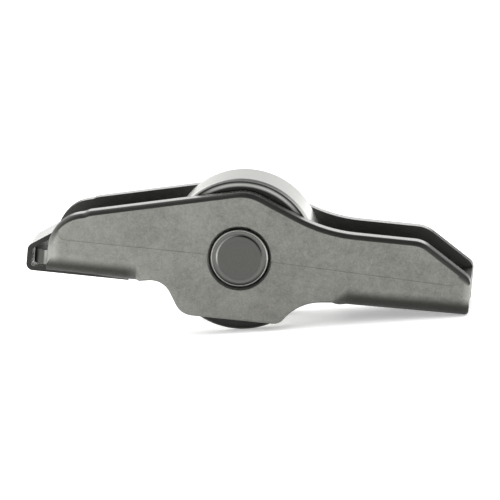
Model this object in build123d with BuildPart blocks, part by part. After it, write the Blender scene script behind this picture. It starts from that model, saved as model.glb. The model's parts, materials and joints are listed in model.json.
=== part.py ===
from build123d import *
from math import asin, atan2, cos, degrees, floor, hypot, isclose, pi, radians, tan
import os

# Roller finger follower for a valve train, lying as it rests on a level surface.
# Millimetres. The origin is the roller's axis at mid width, +X runs level towards the valve end,
# +Y along the roller's pin, +Z up.
# The arm has its own directions: u runs along its web towards the valve end and w square to
# the web, upwards. Every u and w below is counted from the roller's axis.

# Roller and its bearing
roller_diameter = 18.0
roller_width = 8.0
roller_edge_radius = 0.4
roller_bore_chamfer = 0.3
roller_side_clearance = 0.2  # from each face to its wall
pin_radius = 3.4
pin_end_setback = 0.02  # of each end face behind the wall's outer face
stake_groove_radius = 2.9  # middle of the round-bottomed groove staked into each end of the pin
stake_groove_width = 0.72
stake_groove_depth = 0.12
pin_edge_chamfer = 0.12
needle_diameter = 1.5
needle_length = 7.7
needle_end_chamfer = 0.2
needle_running_clearance = 0.03  # against the pin, and again against the roller
needle_least_gap = 0.02  # between neighbours

# Walls and web of the stamped arm
sheet = 2.45
web_floor = -4.25  # underside of the web at the ball end
nose_floor = -4.38  # and at the nose's end
nose_lean = 0.8  # degrees by which the underside falls from there towards the roller
outer_bend_radius = 2.6
bend_run_tail = 1.0  # length in which the bend fades out at the window, at the ball end
bend_run_nose = 2.2  # and at the valve end
bend_overlap_tail = 0.3  # how far the bend reaches beside the window, at the ball end
bend_overlap_nose = 0.6  # and at the valve end
edge_roll = 0.8  # rounding that the press leaves along the outer top edges
ear_edge_roll = 0.35  # and round the ears
nose_edge_roll = 0.35  # and down the nose's corners
window_clearance_tail = 2.3  # from the roller to the web, towards the ball end
window_clearance_nose = 2.35  # from the roller to the web, towards the valve end
window_corner_radius = 1.2

# Outline of the walls, seen from the side
tail_end = -22.65
tail_height = 2.6
tail_radius = 4.5
tail_step_place = -18.4  # joggle where the upper edge drops towards the tail
tail_step_length = 0.6
tail_step_drop = 0.16
tail_step_radius = 1.6
hump_place = 0.4
hump_height = 7.93
hump_radius = 5.0
valley_place = 9.75
nose_height = 4.04
valley_radius = 18.0
nose_slope_start = 21.2
nose_slope_radius = 3.3
nose_end = 27.3
nose_shoulder = 0.13
nose_shoulder_radius = 1.5
nose_heel_radius = 0.7
ear_floor = -7.45
ear_nose_reach = 4.01  # from the window's end to the ear's hollow, on the nose's side
ear_nose_spread = 1.99  # from the hollow to the ear's foot
ear_nose_lift = -4.62  # plain wall's lower edge at the hollow
ear_nose_hollow_radius = 5.8
ear_nose_radius = 1.5
ear_tail_reach = 2.6  # the same on the tail's side
ear_tail_spread = 2.41
ear_tail_lift = -3.54
ear_tail_radius = 2.3
ear_tail_hollow_radius = 2.45
wall_nose_lift = -4.21  # plain wall's lower edge at the window's end, on the nose's side
wall_tail_lift = -3.95  # and on the tail's side
fold_step_tail = 0.35  # length of the step where the fold begins, at the ball end
fold_step_nose = 1.0  # and at the valve end
fold_step_radius = 0.5
fold_flat = 2.2  # length of the fold at full depth, before it thins towards the clip's seat
fold_taper = 3.2
fold_blend_radius = 3.0

# Shallow step that the press leaves along the outer faces
step_depth = 0.06
step_tail_inset = 1.2  # from the tail's end
step_nose_inset = 1.5  # from the nose's end
step_height = 0.05
step_nose_drop = 0.8
step_corner_radius = 0.8

# Ball end
ball_radius = 4.0
ball_clearance = 0.05
ball_place = -17.0
ball_sink = 1.05  # ball's centre below the clip's seat
dome_wall = 1.4
dome_root = 0.5  # how deep the dome starts inside the web
oil_hole_radius = 0.6
tongue_reach = 1.75  # beyond the walls
tongue_nose_width = 7.4
tongue_root_width = 10.6
tongue_nose_radius = 1.4
tongue_overlap = 1.0  # into the web, past the rolled edge
tongue_relief = 0.4  # tongue's underside above the clip's seat

# Valve end
guide_width = 6.2
guide_lip_share = 0.6  # of the flat beside the groove, taken by the lip's rounding
pad_place = 19.5
pad_floor = -3.0
pad_crown_radius = 40.0
pad_thickness = 2.1

# Pin hole
hole_flare = 0.45  # countersink at each outer face

# Retaining clip
clip_sheet = 0.55
clip_width = 8.0
clip_stand = 0.2  # proud of the web's underside
clip_heel_gap = 0.25  # from the tongue's tip
clip_side_clearance = 0.1  # each side, in the web's seat
clip_end_clearance = 0.1
clip_slope = 34.0  # degrees, of the stretch that climbs over the tongue
clip_heel_height = 2.05  # of the heel's inner face, above the seat
clip_bend_radius = 0.25
clip_knee_radius = 0.8
clip_tab_reach = 2.2  # top tab beyond the ball's centre
clip_tab_width = 5.6
clip_tab_hole_radius = 1.2
fork_reach = 4.05  # prongs beyond the ball's centre
fork_radius = 2.85
fork_mouth_width = 5.3

# Sizes that follow from those above
roller_radius = roller_diameter / 2
needle_radius = needle_diameter / 2
needle_circle = pin_radius + needle_running_clearance + needle_radius
roller_bore = needle_circle + needle_radius + needle_running_clearance
needle_count = floor(pi / asin((needle_radius + needle_least_gap / 2) / needle_circle))
half_gap = roller_width / 2 + roller_side_clearance
half_width = half_gap + sheet
web_top = web_floor + sheet
window_tail = -(roller_radius + window_clearance_tail)
window_nose = roller_radius + window_clearance_nose
clip_seat = web_floor + clip_sheet - clip_stand
ball_height = clip_seat - ball_sink
socket_radius = ball_radius + ball_clearance
dome_radius = socket_radius + dome_wall
dome_top = ball_height + dome_radius
tongue_tip = tail_end - tongue_reach
tongue_root = tail_end + edge_roll + tongue_overlap
pad_centre = pad_floor + pad_crown_radius
guide_lip_radius = guide_lip_share * (half_width - outer_bend_radius - guide_width / 2)
stake_tool_radius = (stake_groove_width**2 / 4 + stake_groove_depth**2) / (2 * stake_groove_depth)
tail_step_low = tail_step_place - tail_step_length / 2
tail_step_high = tail_step_place + tail_step_length / 2
nose_fall = (nose_height - nose_shoulder) / (nose_end - nose_slope_start)
fold_end = window_tail - fold_step_tail
fold_start = window_nose + fold_step_nose
ear_nose_top = window_nose - ear_nose_reach
ear_nose_bottom = ear_nose_top - ear_nose_spread
ear_tail_top = window_tail + ear_tail_reach
ear_tail_bottom = ear_tail_top + ear_tail_spread
beyond = 60.0  # well outside the part, for cuts that run out of it


def tail_upper_edge(u):
    """w of the walls' upper edge between the joggle and the hump."""
    return tail_height + (hump_height - tail_height) * (u - tail_end) / (hump_place - tail_end)


def nose_underside(u):
    """w of the web's underside at the valve end."""
    return nose_floor - tan(radians(nose_lean)) * (nose_end - u)


# The arm leans until its nose's heel and the roller stand on one level
heel_u = nose_end - nose_heel_radius
heel_w = nose_underside(heel_u) + nose_heel_radius / cos(radians(nose_lean))
rest_tilt = degrees(
    asin((roller_radius - nose_heel_radius) / hypot(heel_u, heel_w)) - atan2(-heel_w, heel_u)
)

# side looks along the pin with u to the right and w up, web looks down on the web
web = Plane.XY.rotated((0, rest_tilt, 0))
side = Plane(origin=(0, 0, 0), x_dir=web.x_dir, z_dir=(0, -1, 0))


def web_at(u, w):
    """Plane parallel to the web, with its origin at u and w."""
    return Plane(origin=web.from_local_coords(Vector(u, 0, w)), x_dir=web.x_dir, z_dir=web.z_dir)


def section_at(u):
    """Plane square to the web at u, seen from the tail, with +Y to the left and w up."""
    return Plane(origin=web.from_local_coords(Vector(u, 0, 0)), x_dir=(0, 1, 0), z_dir=web.x_dir)


def wall_face(sign):
    """Plane on the outer face of a wall, looking as side does. The sign is that of its Y."""
    return Plane(origin=(0, sign * half_width, 0), x_dir=side.x_dir, z_dir=side.z_dir)


def place(edge):
    """Middle of an edge as u, y, w."""
    return web.to_local_coords(edge.center())


# Arm: one stamping with two walls, a web at each end and a window for the roller
with BuildPart() as arm_body:
    with BuildSketch(side):
        with BuildLine():
            FilletPolyline(
                (tail_end, clip_seat),
                (tail_end, tail_upper_edge(tail_end) - tail_step_drop),
                (tail_step_low, tail_upper_edge(tail_step_low) - tail_step_drop),
                (tail_step_high, tail_upper_edge(tail_step_high)),
                (hump_place, hump_height),
                (valley_place, nose_height),
                (nose_slope_start, nose_height),
                (nose_end, nose_shoulder),
                (nose_end, nose_floor),
                (fold_start, nose_underside(fold_start)),
                (window_nose, wall_nose_lift),
                (ear_nose_top, ear_nose_lift),
                (ear_nose_bottom, ear_floor),
                (ear_tail_bottom, ear_floor),
                (ear_tail_top, ear_tail_lift),
                (window_tail, wall_tail_lift),
                (fold_end, web_floor),
                (fold_end - fold_flat, web_floor),
                (fold_end - fold_flat - fold_taper, clip_seat),
                radius=[
                    0,
                    tail_radius,
                    tail_step_radius,
                    tail_step_radius,
                    hump_radius,
                    valley_radius,
                    nose_slope_radius,
                    0,
                    0,
                    0,
                    fold_step_radius,
                    ear_nose_hollow_radius,
                    ear_nose_radius,
                    ear_tail_radius,
                    ear_tail_hollow_radius,
                    fold_step_radius,
                    0,
                    fold_blend_radius,
                    0,
                ],
                close=True,
            )
        make_face()
    extrude(amount=half_width, both=True)

    # The press rolls over the outer top edges and the upright edges of the tail
    rolled = [
        edge
        for edge in arm_body.edges()
        if isclose(abs(place(edge).Y), half_width, abs_tol=0.01)
        and (place(edge).Z > 0 or isclose(place(edge).X, tail_end, abs_tol=0.01))
    ]
    fillet(rolled, radius=edge_roll)

    # Outer edges of the ears, of the plain walls beside them and of the steps where the folds begin
    ear_edges = [
        edge
        for edge in arm_body.edges()
        if isclose(abs(place(edge).Y), half_width, abs_tol=0.01)
        and fold_end < place(edge).X < fold_start
        and place(edge).Z < 0
    ]
    fillet(ear_edges, radius=ear_edge_roll)

    # Outer bends between the walls and the web, which fade out beside the window
    for sign in (-1, 1):
        for start, run, end, underside in (
            (window_tail + bend_overlap_tail, -bend_run_tail, -beyond, lambda u: web_floor),
            (window_nose - bend_overlap_nose, bend_run_nose, beyond, nose_underside),
        ):
            for u, radius in (
                (start, ear_edge_roll),
                (start + run, outer_bend_radius),
                (end, outer_bend_radius),
            ):
                with BuildSketch(section_at(u)):
                    with Locations((sign * half_width, underside(u))):
                        Rectangle(2 * radius, 2 * radius)
                    with Locations((sign * (half_width - radius), underside(u) + radius)):
                        Circle(radius, mode=Mode.SUBTRACT)
            loft(ruled=True, mode=Mode.SUBTRACT)

    # Nose: its shoulder and the heel on which the arm rests, then its upright corners
    with BuildSketch(wall_face(1)):
        with BuildLine():
            FilletPolyline(
                (nose_end - beyond, nose_shoulder + nose_fall * beyond),
                (nose_end, nose_shoulder),
                (nose_end, nose_floor),
                (fold_start, nose_underside(fold_start)),
                (fold_start, -beyond),
                (nose_end - beyond, -beyond),
                radius=[0, nose_shoulder_radius, nose_heel_radius, 0, 0, 0],
                close=True,
            )
        make_face()
    extrude(amount=2 * half_width, mode=Mode.INTERSECT)
    with BuildSketch(web):
        for sign in (-1, 1):
            with Locations((nose_end, sign * half_width)):
                Rectangle(2 * nose_edge_roll, 2 * nose_edge_roll)
            with Locations((nose_end - nose_edge_roll, sign * (half_width - nose_edge_roll))):
                Circle(nose_edge_roll, mode=Mode.SUBTRACT)
    extrude(amount=beyond, both=True, mode=Mode.SUBTRACT)

    # Channel between the walls: above the web, and above the crowned pad at the valve end
    with BuildSketch(side):
        with Locations((window_nose, web_top)):
            Rectangle(beyond, beyond, align=(Align.MAX, Align.MIN))
    extrude(amount=half_gap, both=True, mode=Mode.SUBTRACT)
    with BuildSketch(side):
        with Locations((pad_place, pad_centre)):
            Circle(pad_crown_radius - pad_thickness)
        with Locations((window_nose - beyond, 0)):
            Rectangle(2 * beyond, 4 * beyond, mode=Mode.SUBTRACT)
    extrude(amount=half_gap, both=True, mode=Mode.SUBTRACT)

    # Window for the roller
    with BuildSketch(web):
        with Locations(((window_tail + window_nose) / 2, 0)):
            RectangleRounded(window_nose - window_tail, 2 * half_gap, window_corner_radius)
    extrude(amount=beyond, both=True, mode=Mode.SUBTRACT)

    # Groove below the pad that guides the valve's stem
    with BuildSketch(side):
        Rectangle(2 * beyond, 2 * beyond, align=(Align.MIN, Align.MAX))
        with Locations((pad_place, pad_centre)):
            Circle(pad_crown_radius, mode=Mode.SUBTRACT)
        Rectangle(2 * window_nose, 4 * beyond, mode=Mode.SUBTRACT)
    extrude(amount=guide_width / 2, both=True, mode=Mode.SUBTRACT)
    lips = [
        edge
        for edge in arm_body.edges()
        if isclose(abs(place(edge).Y), guide_width / 2, abs_tol=0.01)
        and nose_underside(window_nose) < place(edge).Z < nose_floor
    ]
    fillet(lips, radius=guide_lip_radius)

    # Dome pressed up over the ball, turned about the ball's upright axis
    ball_axis = Axis(web_at(ball_place, ball_height).origin, web.z_dir)
    with BuildSketch(side):
        with Locations((ball_place, ball_height)):
            Circle(dome_radius)
        with Locations((ball_place, web_top - dome_root)):
            Rectangle(beyond, beyond, align=(Align.MIN, Align.MIN), mode=Mode.INTERSECT)
    revolve(axis=ball_axis)

    # Socket for the ball, with the oil hole in its crown
    with BuildSketch(side):
        with Locations((ball_place, ball_height)):
            Circle(socket_radius)
            Rectangle(beyond, beyond, align=(Align.MIN, Align.CENTER), mode=Mode.INTERSECT)
            Rectangle(oil_hole_radius, beyond, align=(Align.MIN, Align.MIN))
    revolve(axis=ball_axis, mode=Mode.SUBTRACT)

    # Tongue of the web, which reaches out between the walls into the clip's heel
    with BuildSketch(web_at(0, clip_seat + tongue_relief)):
        with BuildLine():
            FilletPolyline(
                (tongue_root, tongue_root_width / 2),
                (tongue_tip, tongue_nose_width / 2),
                (tongue_tip, -tongue_nose_width / 2),
                (tongue_root, -tongue_root_width / 2),
                radius=[0, tongue_nose_radius, tongue_nose_radius, 0],
                close=True,
            )
        make_face()
    extrude(amount=web_top - clip_seat - tongue_relief)

    # Flat seat for the clip in the underside of the web, open to the tail
    with BuildSketch(web_at(0, clip_seat)):
        with Locations((ball_place + fork_reach + clip_end_clearance, 0)):
            Rectangle(beyond, clip_width + 2 * clip_side_clearance, align=(Align.MAX, Align.CENTER))
    extrude(amount=-beyond, mode=Mode.SUBTRACT)

    # Pin holes with their countersinks, and the press's shallow step on each outer face
    with BuildSketch(Plane.XZ):
        Circle(pin_radius)
    extrude(amount=half_width, both=True, mode=Mode.SUBTRACT)
    for sign in (-1, 1):
        with BuildSketch(wall_face(sign)):
            Circle(pin_radius + hole_flare)
        extrude(amount=sign * hole_flare, taper=45, mode=Mode.SUBTRACT)
        with BuildSketch(wall_face(sign)):
            with BuildLine():
                FilletPolyline(
                    (tail_end + step_tail_inset, beyond),
                    (tail_end + step_tail_inset, step_height),
                    (0, step_height),
                    (nose_end - step_nose_inset, step_height - step_nose_drop),
                    (nose_end - step_nose_inset, beyond),
                    radius=[0, step_corner_radius, 0, step_corner_radius, 0],
                    close=True,
                )
            make_face()
        extrude(amount=sign * step_depth, mode=Mode.SUBTRACT)
arm_body.part.label = "arm_body"

# Pin, staked at both ends
with BuildPart() as axle_pin:
    with BuildSketch(Plane.XZ):
        Circle(pin_radius)
    extrude(amount=half_width - pin_end_setback, both=True)
    chamfer(axle_pin.edges().filter_by(GeomType.CIRCLE), length=pin_edge_chamfer)
    for sign in (-1, 1):
        tool_height = half_width - pin_end_setback - stake_groove_depth + stake_tool_radius
        with BuildSketch(Plane.XY):
            with Locations((stake_groove_radius, sign * tool_height)):
                Circle(stake_tool_radius)
        revolve(axis=Axis.Y, mode=Mode.SUBTRACT)
axle_pin.part.label = "axle_pin"

# Roller
with BuildPart() as roller_ring:
    with BuildSketch(Plane.XZ):
        Circle(roller_radius)
        Circle(roller_bore, mode=Mode.SUBTRACT)
    extrude(amount=roller_width / 2, both=True)
    rims = roller_ring.edges().filter_by(GeomType.CIRCLE).sort_by(lambda edge: edge.radius)
    chamfer(rims[:2], length=roller_bore_chamfer)
    fillet(rims[2:], radius=roller_edge_radius)
roller_ring.part.label = "roller_ring"

# Full complement of needles between the pin and the roller
needles = []
for spot in PolarLocations(needle_circle, needle_count):
    with BuildPart() as needle:
        with BuildSketch(Plane.XZ):
            with Locations((spot.position.X, spot.position.Y)):
                Circle(needle_radius)
        extrude(amount=needle_length / 2, both=True)
        chamfer(needle.edges().filter_by(GeomType.CIRCLE), length=needle_end_chamfer)
    needle.part.label = f"needle_{len(needles) + 1:02d}"
    needles.append(needle)

# Clip: one strip of spring steel, folded round the tongue, with a fork for the adjuster's neck
heel = tongue_tip - clip_heel_gap
heel_top = clip_seat + clip_heel_height
knee = heel + (dome_top - heel_top) / tan(radians(clip_slope))
with BuildPart() as retaining_clip:
    with BuildSketch(side):
        with BuildLine():
            strip = FilletPolyline(
                (ball_place + clip_tab_reach, dome_top),
                (knee, dome_top),
                (heel, heel_top),
                (heel, clip_seat),
                (ball_place + fork_reach, clip_seat),
                radius=[clip_knee_radius, clip_bend_radius, clip_bend_radius],
            )
            offset(strip, amount=clip_sheet, side=Side.RIGHT)
        make_face()
    extrude(amount=clip_width / 2, both=True)

    # Fork: a round seat for the neck, with a narrower mouth towards the roller
    with BuildSketch(web_at(ball_place, clip_seat)):
        Circle(fork_radius)
        with Locations((fork_reach / 2, 0)):
            Rectangle(fork_reach, fork_mouth_width)
    extrude(amount=-beyond, mode=Mode.SUBTRACT)

    # Top tab: narrower than the strip, with a hole over the oil hole
    with BuildSketch(web_at(ball_place, web_top)):
        with Locations((knee - ball_place, 0)):
            Rectangle(beyond, beyond, align=(Align.MIN, Align.CENTER))
            Rectangle(
                clip_tab_reach + ball_place - knee,
                clip_tab_width,
                align=(Align.MIN, Align.CENTER),
                mode=Mode.SUBTRACT,
            )
        Circle(clip_tab_hole_radius)
    extrude(amount=beyond, mode=Mode.SUBTRACT)
retaining_clip.part.label = "retaining_clip"

os.makedirs("parts", exist_ok=True)
for piece in (arm_body, axle_pin, roller_ring, *needles, retaining_clip):
    export_step(piece.part, f"parts/{piece.part.label}.step")
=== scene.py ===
import json
import math

import bpy
from bpy.props import FloatProperty, PointerProperty
from mathutils import Matrix, Vector


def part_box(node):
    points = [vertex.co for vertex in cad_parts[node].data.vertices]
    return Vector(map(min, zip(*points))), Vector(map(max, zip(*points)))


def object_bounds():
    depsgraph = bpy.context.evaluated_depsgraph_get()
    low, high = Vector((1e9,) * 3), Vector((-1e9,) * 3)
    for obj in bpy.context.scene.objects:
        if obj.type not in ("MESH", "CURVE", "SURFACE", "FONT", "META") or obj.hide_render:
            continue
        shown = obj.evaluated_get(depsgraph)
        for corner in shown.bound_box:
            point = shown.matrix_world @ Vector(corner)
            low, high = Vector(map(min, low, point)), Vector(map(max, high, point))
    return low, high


bl_info = {
    "name": "Roller Rocker Arm",
    "version": (1, 0, 0),
    "blender": (4, 5, 0),
    "location": "3D View > Sidebar > Rocker Arm",
    "description": "Dresses a stamped roller rocker arm in its steels and sets it on a pale studio floor",
    "category": "Object",
}

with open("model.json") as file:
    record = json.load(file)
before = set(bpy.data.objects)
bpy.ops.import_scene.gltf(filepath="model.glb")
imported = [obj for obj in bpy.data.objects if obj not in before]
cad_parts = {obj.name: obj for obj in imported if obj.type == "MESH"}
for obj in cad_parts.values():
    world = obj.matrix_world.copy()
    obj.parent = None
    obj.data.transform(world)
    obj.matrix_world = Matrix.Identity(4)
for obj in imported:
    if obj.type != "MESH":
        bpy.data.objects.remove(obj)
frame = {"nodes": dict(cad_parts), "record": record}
cad_low, cad_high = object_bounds()

# Places that the frame gives, in millimetres but for floor_height. The arm leans by tilt, so its own
# directions are u along the web, towards the valve end, and w square to the web. y is shared with the
# row frame, and the roller's axis is at 0, 0, 0 in both.
MM = 0.001
mounts = {mount["name"]: mount for mount in frame["record"]["mounts"]}
ball_down = Vector(mounts["ball_socket"]["axis"])
tilt = math.atan2(-ball_down.x, -ball_down.z)
floor_height = cad_low.z
roller_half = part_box("roller_ring")[1].y / MM
clip_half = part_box("retaining_clip")[1].y / MM
half_gap = roller_half + 0.2

# Where tones change on the pieces: start and end of a fade, in millimetres.
NOSE_FOLD = (9.0, 14.0)
TAIL_FOLD = (-10.0, -13.5)
ABOVE_FOLD = (-4.0, -2.0)
TAIL_END = (-20.8, -22.3)
NOSE_END = (26.3, 27.0)
BARE_STRIP = (6.1, 5.7)
CHANNEL_FACE = (half_gap + 0.12, half_gap + 0.03)
STAKED_RING = (2.5, 2.6)

# Rings of painted reflection on the roller's cheek and the pin: radius and reach to each side, in
# millimetres.
PAINTED_CHEEK_BAND = (8.3, 0.32)
GROOVE_WALL = (2.66, 0.16)
PIN_RIM = (3.3, 0.1)

# The picture that the camera repeats: its side and the roller's axis in it, in pixels, the metres that a
# pixel covers at that axis, and the camera's sensor in millimetres.
PICTURE = 500
AXIS_AT = (243.47, 248.45)
PIXEL = MM / 8.437
SENSOR = 36


class Wire:
    """An output socket, with Python's operators on it as Math nodes."""

    def __init__(self, sheet, socket):
        self.sheet = sheet
        self.socket = socket

    def math(self, operation, other=0.0, clamp=False):
        return self.sheet.math(operation, self, other, clamp)

    def __add__(self, other):
        return self.math("ADD", other)

    __radd__ = __add__

    def __sub__(self, other):
        return self.math("SUBTRACT", other)

    def __rsub__(self, other):
        return self.sheet.math("SUBTRACT", other, self)

    def __mul__(self, other):
        return self.math("MULTIPLY", other)

    def __truediv__(self, other):
        return self.math("DIVIDE", other)

    def __abs__(self):
        return self.math("ABSOLUTE")

    def capped(self):
        """The value, held between 0 and 1."""
        return self.math("ADD", 0.0, clamp=True)

    def fade(self, start, end):
        """0 before start, 1 after end, and smooth between. start may be the larger."""
        low, high = min(start, end), max(start, end)
        risen = self.sheet.add(
            "ShaderNodeMapRange",
            {"interpolation_type": "SMOOTHSTEP"},
            {"Value": self, "From Min": low, "From Max": high},
        )
        return risen if start < end else 1 - risen

    def near(self, middle, reach):
        """1 at middle, falling smoothly to 0 at reach on each side."""
        return abs(self - middle).fade(reach, 0)


class Sheet:
    """A node tree that is being written."""

    def __init__(self, tree):
        tree.nodes.clear()
        self.tree = tree

    def add(self, kind, settings=None, inputs=None, output=0):
        """Adds a node of that kind, with its settings first and then its sockets' values or links."""
        node = self.tree.nodes.new(kind)
        for name, value in (settings or {}).items():
            setattr(node, name, value)
        for name, value in (inputs or {}).items():
            if isinstance(value, Wire):
                self.tree.links.new(value.socket, node.inputs[name])
            else:
                node.inputs[name].default_value = value
        return Wire(self, node.outputs[output]) if len(node.outputs) else node

    def math(self, operation, first, second=0.0, clamp=False):
        return self.add(
            "ShaderNodeMath", {"operation": operation, "use_clamp": clamp}, {0: first, 1: second}
        )

    def mix(self, share, first, second):
        """Colour between first, at a share of 0, and second."""
        sockets = {"Factor": share, 6: first, 7: second}
        return self.add("ShaderNodeMix", {"data_type": "RGBA"}, sockets, 2)

    def noise(self, place, scale, detail=3.0, roughness=0.5):
        sockets = {"Vector": place, "Scale": scale, "Detail": detail, "Roughness": roughness}
        return self.add("ShaderNodeTexNoise", None, sockets)

    def place(self, turn=0.0, stretch=(1, 1, 1)):
        """The piece's own coordinates in millimetres, turned about Y and then stretched."""
        own = self.add("ShaderNodeTexCoord", output="Object")
        turned = self.add(
            "ShaderNodeMapping",
            {"vector_type": "POINT"},
            {"Vector": own, "Rotation": (0, -turn, 0), "Scale": (1 / MM,) * 3},
        )
        return self.add(
            "ShaderNodeVectorMath", {"operation": "MULTIPLY"}, {0: turned, 1: stretch}
        )

    def lie(self, turn=0.0):
        """The way each face points, in the piece's own directions turned about Y."""
        own = self.add("ShaderNodeTexCoord", output="Normal")
        settings = {"vector_type": "NORMAL"}
        return self.add("ShaderNodeMapping", settings, {"Vector": own, "Rotation": (0, -turn, 0)})

    def split(self, vector):
        parts = self.tree.nodes.new("ShaderNodeSeparateXYZ")
        self.tree.links.new(vector.socket, parts.inputs[0])
        return [Wire(self, socket) for socket in parts.outputs]


def new_material(name):
    """A material with no nodes yet, and its sheet."""
    material = bpy.data.materials.new(name)
    material.use_nodes = True
    return material, Sheet(material.node_tree)


def finish_steel(sheet, colour, roughness, height, depth):
    """Closes a steel's sheet. height is the relief in shares of depth, which is in millimetres."""
    relief = sheet.add(
        "ShaderNodeBump", None, {"Height": height, "Strength": 1.0, "Distance": depth * MM}
    )
    surface = sheet.add(
        "ShaderNodeBsdfPrincipled",
        None,
        {"Base Color": colour, "Roughness": roughness, "Metallic": 1.0, "Normal": relief},
    )
    sheet.add("ShaderNodeOutputMaterial", None, {"Surface": surface})


def wear(node, material):
    """Gives a CAD node its material."""
    slots = node.data.materials
    slots.clear()
    slots.append(material)


def grey(level, warmth=0.0):
    """A steel's colour as linear red, green and blue, from its brightness in sRGB."""
    linear = ((level + 0.055) / 1.055) ** 2.4
    return (linear * (1 + warmth), linear * (1 + warmth), linear * (1 - warmth), 1.0)


class ArmFinish(bpy.types.PropertyGroup):
    steel: FloatProperty(
        name="Steel", description="Brightness of the tumbled faces", default=0.45, min=0, max=1
    )
    # The sheared edges' brightness, which also serves the painted highlight on both ends.
    sheared_and_highlight: FloatProperty(
        name="Sheared Edge", description="Brightness of the bare top edges", default=0.97, min=0, max=1
    )
    # The next three set how bright the painted shade is: on the upper edges' outer curve, in the lower
    # folds and on the faces between the walls.
    painted_roll_shade: FloatProperty(
        name="Rolled Edge",
        description="Brightness of the upper edges' outer curve",
        default=0.40,
        min=0,
        max=1,
    )
    painted_fold_shade: FloatProperty(
        name="Folds", description="Brightness of the dark lower folds", default=0.22, min=0, max=1
    )
    inside: FloatProperty(
        name="Inside", description="Brightness of the faces between the walls", default=0.34, min=0, max=1
    )
    roughness: FloatProperty(
        name="Roughness", description="Roughness of the tumbled faces", default=0.42, min=0, max=1
    )


class StudioSettings(bpy.types.PropertyGroup):
    azimuth: FloatProperty(
        name="Azimuth",
        description="Camera's angle round the arm, from the side",
        default=math.radians(5.134),
        subtype="ANGLE",
    )
    elevation: FloatProperty(
        name="Elevation",
        description="Camera's angle above the horizon",
        default=math.radians(9.618),
        subtype="ANGLE",
    )
    roll: FloatProperty(
        name="Roll",
        description="How far the picture is turned anticlockwise",
        default=math.radians(5.018),
        subtype="ANGLE",
    )
    distance: FloatProperty(
        name="Distance",
        description="From the camera to the roller's axis",
        default=0.5762,
        unit="LENGTH",
    )


class ROCKER_OT_finish_arm(bpy.types.Operator):
    """Give the stamped arm its tumbled steel"""

    bl_idname = "rocker.finish_arm"
    bl_label = "Finish Arm"

    def execute(self, context):
        settings = context.scene.rocker_arm_finish
        material, sheet = new_material("tumbled_steel")
        place = sheet.place(turn=tilt)
        u, y, w = sheet.split(place)
        # facing is 1 where a face points up, square to the web, and -1 where it points down.
        facing = sheet.split(sheet.lie(turn=tilt))[2]
        # The tumbled grey, mottled at three sizes and a little lighter towards the socket's end.
        cloud = sheet.noise(place, 0.25, 3.0, 0.5)
        mottle = sheet.noise(place, 1.6, 4.0, 0.7)
        grain = sheet.noise(place, 4.5, 3.0, 0.7)
        shade = cloud * 0.25 + mottle * 0.35 + grain * 0.4 + u.fade(8, -20) * 0.1
        dull = sheet.mix(
            shade.fade(0.3, 0.75), grey(settings.steel - 0.07, 0.04), grey(settings.steel + 0.07, 0.04)
        )
        # Both ends are toned a little lighter by a painted highlight.
        tail_end = u.fade(*TAIL_END) * w.fade(*ABOVE_FOLD)
        nose_end = u.fade(*NOSE_END)
        lighter = (tail_end * 0.2 + nose_end * 0.12) * (grain * 0.5 + 0.75)
        ends = sheet.mix(lighter, dull, grey(settings.sheared_and_highlight, 0.03))
        # The lower folds and the upper edges' outer curves are darker by painted shade.
        runs = u.fade(*NOSE_FOLD) + u.fade(*TAIL_FOLD)
        painted_fold_mask = facing.fade(-0.02, -0.6) * runs
        painted_fold_shade = sheet.mix(painted_fold_mask * (grain * 0.3 + 0.85), ends, grey(settings.painted_fold_shade, 0.05))
        # The flat top strip is lighter: bare sheared steel with a painted highlight.
        bare = facing.fade(0.84, 0.97) * abs(y).fade(*BARE_STRIP)
        painted_roll_mask = facing.fade(0.03, 0.4) * w.fade(*ABOVE_FOLD)
        painted_roll_shade = sheet.mix(painted_roll_mask, painted_fold_shade, grey(settings.painted_roll_shade, 0.03))
        sheared_and_highlight = sheet.mix(bare, painted_roll_shade, grey(settings.sheared_and_highlight, 0.01))
        # The faces between the walls are darker by painted shade.
        painted_channel_shade_mask = abs(y).fade(*CHANNEL_FACE)
        colour = sheet.mix(painted_channel_shade_mask, sheared_and_highlight, grey(settings.inside, 0.03))
        roughness = settings.roughness + (grain - 0.5) * 0.16 - bare * (1 - painted_channel_shade_mask) * 0.14
        finish_steel(sheet, colour, roughness, mottle * 0.4 + grain * 0.6, 0.03)
        wear(frame["nodes"]["arm_body"], material)
        return {"FINISHED"}


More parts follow.
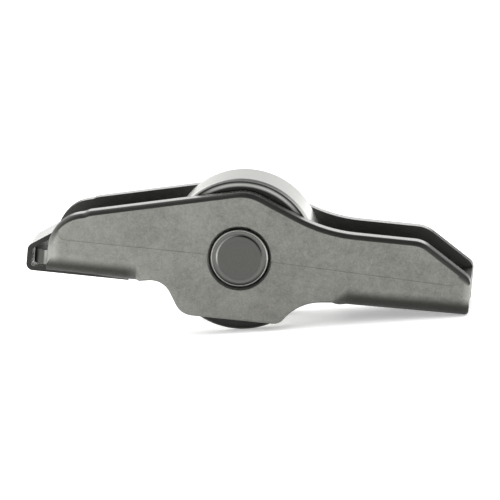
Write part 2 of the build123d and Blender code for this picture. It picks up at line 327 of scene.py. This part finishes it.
class ROCKER_OT_finish_roller(bpy.types.Operator):
    """Give the roller and its needles their ground steel"""

    bl_idname = "rocker.finish_roller"
    bl_label = "Finish Roller"

    def execute(self, context):
        material, sheet = new_material("ground_steel")
        x, y, z = sheet.split(sheet.place())
        # Grinding lines run round the tread, so they are long along it and narrow across it.
        lines = sheet.noise(sheet.place(stretch=(0.05, 6.0, 0.05)), 2.0, 2.0)
        speck = sheet.noise(sheet.place(), 3.0, 3.0, 0.6)
        rim = (x * x + z * z).math("SQRT")
        side = abs(y).fade(roller_half - 0.05, roller_half - 0.005)
        tread = sheet.mix(lines * 0.6 + speck * 0.4, grey(0.93, 0.02), grey(0.99, 0.02))
        # The cheek's colour is a painted reflection: dark, with a lighter band near its rim that fades out
        # towards the bottom.
        painted_cheek_reflection = sheet.mix(rim.near(*PAINTED_CHEEK_BAND) * z.fade(-5, 4), grey(0.17, 0.02), grey(0.60, 0.02))
        # The edge that is lowest at rest is darker by painted shade. It turns with the roller.
        painted_low_shade = abs(y).fade(roller_half - 0.9, roller_half - 0.5) * z.fade(-4, -7)
        toned = sheet.mix(painted_low_shade, tread, grey(0.28, 0.05))
        colour = sheet.mix(side, toned, painted_cheek_reflection)
        finish_steel(sheet, colour, 0.22 + lines * 0.1 + speck * 0.06, lines, 0.003)
        wear(frame["nodes"]["roller_ring"], material)
        plain, sheet = new_material("needle_steel")
        finish_steel(sheet, grey(0.85), 0.15, sheet.noise(sheet.place(), 4.0), 0.001)
        for name, node in frame["nodes"].items():
            if name.startswith("needle"):
                wear(node, plain)
        return {"FINISHED"}


class ROCKER_OT_finish_pin(bpy.types.Operator):
    """Give the staked pin its dark steel"""

    bl_idname = "rocker.finish_pin"
    bl_label = "Finish Pin"

    def execute(self, context):
        material, sheet = new_material("pin_steel")
        place = sheet.place()
        x, _, z = sheet.split(place)
        reach = (x * x + z * z).math("SQRT")
        rings = sheet.add(
            "ShaderNodeTexNoise",
            {"noise_dimensions": "1D"},
            {"W": reach * 3.0, "Scale": 2.0, "Detail": 2.0},
        )
        grain = sheet.noise(place, 3.5)
        staked = reach.fade(*STAKED_RING)
        face = sheet.mix(grain * 0.6 + rings * 0.4, grey(0.30, 0.03), grey(0.36, 0.03))
        ring = sheet.mix(staked, face, grey(0.35, 0.03))
        # Tones in the steel that imitate the photo's reflections on the groove's wall and the pin's rim.
        wall = reach.near(*GROOVE_WALL)
        bright = wall * ((z - x) / reach).fade(0.6, 1.4) * 0.6 + reach.near(*PIN_RIM) * 0.75
        dark = wall * ((z + x) / reach).fade(0.7, 1.4) * 0.8
        colour = sheet.mix(dark, sheet.mix(bright, ring, grey(0.90, 0.02)), grey(0.10, 0.02))
        finish_steel(sheet, colour, 0.40 + grain * 0.1 - staked * 0.14, rings * 0.4 + grain * 0.6, 0.006)
        wear(frame["nodes"]["axle_pin"], material)
        return {"FINISHED"}


class ROCKER_OT_finish_clip(bpy.types.Operator):
    """Give the retaining clip its spring steel"""

    bl_idname = "rocker.finish_clip"
    bl_label = "Finish Clip"

    def execute(self, context):
        material, sheet = new_material("spring_steel")
        place = sheet.place()
        y = sheet.split(place)[1]
        grain = sheet.noise(place, 3.5)
        # The strip's cut edges are darker than its faces, by painted shade.
        cut = abs(y).fade(clip_half - 0.03, clip_half - 0.005)
        strip = sheet.mix(grain, grey(0.90, 0.02), grey(0.98, 0.02))
        colour = sheet.mix(cut, strip, grey(0.22, 0.03))
        finish_steel(sheet, colour, 0.22 + grain * 0.08 + cut * 0.2, grain, 0.004)
        wear(frame["nodes"]["retaining_clip"], material)
        return {"FINISHED"}


class ROCKER_OT_build_stage(bpy.types.Operator):
    """Lay the floor, light the studio and place the camera"""

    bl_idname = "rocker.build_stage"
    bl_label = "Build Stage"

    def execute(self, context):
        settings = context.scene.rocker_studio
        self.lay_floor(context)
        self.light_studio(context)
        self.place_camera(context, settings)
        return {"FINISHED"}

    def lay_floor(self, context):
        size = 4.0
        mesh = bpy.data.meshes.new("floor")
        corners = [(-size, -size), (size, -size), (size, size), (-size, size)]
        mesh.from_pydata([(x, y, floor_height) for x, y in corners], [], [(0, 1, 2, 3)])
        floor = bpy.data.objects.new("floor", mesh)
        context.scene.collection.objects.link(floor)
        material, sheet = new_material("white_floor")
        # The camera and what mirrors the floor see it glow to white. The glow sheds no diffuse light.
        rays = ("Is Camera Ray", "Is Glossy Ray", "Is Transmission Ray")
        camera, glossy, through = (sheet.add("ShaderNodeLightPath", output=ray) for ray in rays)
        shown = (camera + glossy + through).capped()
        paper = sheet.add("ShaderNodeBsdfDiffuse", None, {"Color": (0.94, 0.94, 0.94, 1)})
        glow = sheet.add(
            "ShaderNodeEmission", None, {"Color": (1, 1, 1, 1), "Strength": shown * 0.36}
        )
        both = sheet.add("ShaderNodeAddShader", None, {0: paper, 1: glow})
        sheet.add("ShaderNodeOutputMaterial", None, {"Surface": both})
        floor.data.materials.append(material)

    def light_studio(self, context):
        """A pale tent, dark overhead but for a window, and a soft box that steel doesn't mirror."""
        world = bpy.data.worlds.new("studio")
        world.use_nodes = True
        context.scene.world = world
        sheet = Sheet(world.node_tree)
        direction = sheet.add("ShaderNodeTexCoord", output="Generated")
        x, y, z = sheet.split(direction)
        window = (x * -0.66 + y * 0.42 + z * 0.62).fade(0.72, 0.92)
        level = 0.78 - z.fade(0.15, 0.8) * 0.64 + window * 0.75
        light = sheet.add(
            "ShaderNodeBackground", None, {"Color": (1, 1, 1, 1), "Strength": level}
        )
        sheet.add("ShaderNodeOutputWorld", None, {"Surface": light})
        box = bpy.data.lights.new("soft_box", "AREA")
        box.size = 4.0
        box.energy = 70.0
        lamp = bpy.data.objects.new("soft_box", box)
        lamp.location = (0, 0.1, 1.0)
        lamp.visible_glossy = False
        context.scene.collection.objects.link(lamp)

    def place_camera(self, context, settings):
        a, e, roll = settings.azimuth, settings.elevation, settings.roll
        back = Vector((math.sin(a) * math.cos(e), -math.cos(a) * math.cos(e), math.sin(e)))
        level = Vector((math.cos(a), math.sin(a), 0))
        rise = back.cross(level)
        right = level * math.cos(roll) - rise * math.sin(roll)
        up = level * math.sin(roll) + rise * math.cos(roll)
        across, down = (PICTURE / 2 - place for place in AXIS_AT)
        aim = right * across * PIXEL - up * down * PIXEL
        camera = bpy.data.objects.new("camera", bpy.data.cameras.new("camera"))
        context.scene.collection.objects.link(camera)
        turn = Matrix((right, up, back)).transposed().to_4x4()
        camera.matrix_world = Matrix.Translation(aim + back * settings.distance) @ turn
        camera.data.sensor_width = SENSOR
        camera.data.lens = SENSOR * settings.distance / (PICTURE * PIXEL)
        camera.data.clip_start = 0.01
        context.scene.camera = camera
        context.scene.view_settings.view_transform = "Standard"


class ROCKER_PT_panel(bpy.types.Panel):
    """The rocker arm's finishes and its studio"""

    bl_idname = "ROCKER_PT_panel"
    bl_label = "Rocker Arm"
    bl_space_type = "VIEW_3D"
    bl_region_type = "UI"
    bl_category = "Rocker Arm"

    def draw(self, context):
        for step in STEPS:
            self.layout.operator(step.bl_idname)


STEPS = (
    ROCKER_OT_finish_arm,
    ROCKER_OT_finish_roller,
    ROCKER_OT_finish_pin,
    ROCKER_OT_finish_clip,
    ROCKER_OT_build_stage,
)
GROUPS = {"rocker_arm_finish": ArmFinish, "rocker_studio": StudioSettings}


def register():
    for name, group in GROUPS.items():
        bpy.utils.register_class(group)
        setattr(bpy.types.Scene, name, PointerProperty(type=group))
    for step in (*STEPS, ROCKER_PT_panel):
        bpy.utils.register_class(step)


def unregister():
    for step in (ROCKER_PT_panel, *STEPS):
        bpy.utils.unregister_class(step)
    for name, group in GROUPS.items():
        delattr(bpy.types.Scene, name)
        bpy.utils.unregister_class(group)


def main():
    register()
    bpy.ops.rocker.finish_arm()
    bpy.ops.rocker.finish_roller()
    bpy.ops.rocker.finish_pin()
    bpy.ops.rocker.finish_clip()
    bpy.ops.rocker.build_stage()


if __name__ == "__main__":
    main()
